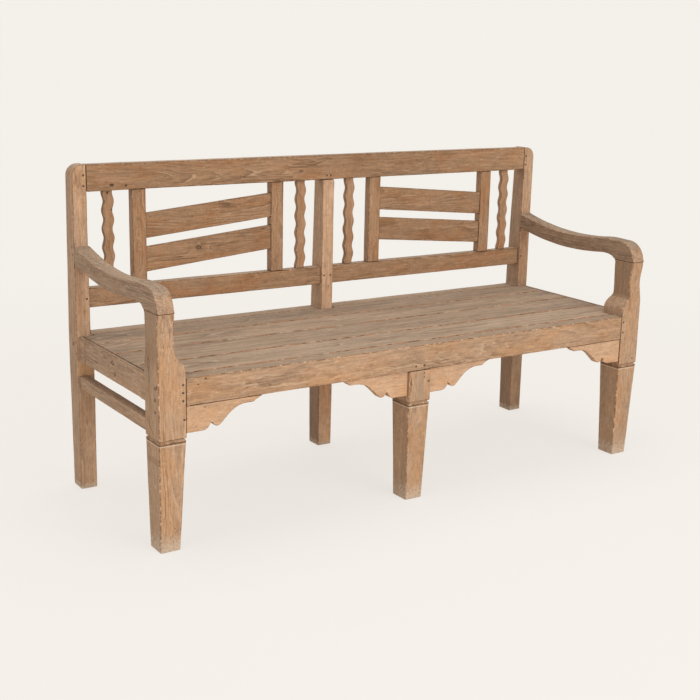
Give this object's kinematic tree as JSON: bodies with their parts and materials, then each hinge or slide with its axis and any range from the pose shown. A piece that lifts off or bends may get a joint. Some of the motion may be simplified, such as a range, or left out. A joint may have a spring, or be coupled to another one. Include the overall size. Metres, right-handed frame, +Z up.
{
  "type": "slatted bench",
  "caption": "Long wooden bench with swept arms, carved brackets under the seat rail and a back of wavy, upright and slanted slats.",
  "frame": {"origin": "on the floor, under the middle of the box around the bench", "axes": "+X along the bench to the right of a viewer in front of it, -Y is the front, +Z up"},
  "size_m": [1.64, 0.6, 0.925],
  "materials": {
    "front_wood": "weathered, light tan, matt",
    "frame_wood": "weathered, grey brown, matt",
    "back_wood": "weathered, mid brown, matt",
    "seat_wood": "weathered, worn grey tan, matt",
    "peg_wood": "dark end grain, matt"
  },
  "bodies": {
    "root": {"front_leg_left": "front_wood", "front_leg_centre": "front_wood", "front_leg_right": "front_wood", "front_rail": "front_wood", "bracket_left_outer": "front_wood", "bracket_left_inner": "front_wood", "bracket_right_inner": "front_wood", "bracket_right_outer": "front_wood", "back_post_left": "frame_wood", "back_post_centre": "frame_wood", "back_post_right": "frame_wood", "rear_rail_left": "frame_wood", "rear_rail_right": "frame_wood", "side_rail_left": "frame_wood", "side_rail_right": "frame_wood", "side_stretcher_left": "frame_wood", "side_stretcher_right": "frame_wood", "cross_rail": "frame_wood", "arm_left": "frame_wood", "arm_right": "frame_wood", "top_rail": "back_wood", "lower_back_rail_left": "back_wood", "lower_back_rail_right": "back_wood", "stile_left_outer": "back_wood", "stile_left_inner": "back_wood", "stile_right_inner": "back_wood", "stile_right_outer": "back_wood", "wavy_slat_left_outer": "back_wood", "wavy_slat_left_inner": "back_wood", "wavy_slat_right_inner": "back_wood", "wavy_slat_right_outer": "back_wood", "slanted_slat_left_upper": "back_wood", "slanted_slat_left_lower": "back_wood", "slanted_slat_right_upper": "back_wood", "slanted_slat_right_lower": "back_wood", "seat_plank_front": "seat_wood", "seat_plank_mid_front": "seat_wood", "seat_plank_mid_back": "seat_wood", "seat_plank_back": "seat_wood", "back_pegs": "peg_wood", "seat_pegs": "peg_wood"}
  },
  "joints": []
}
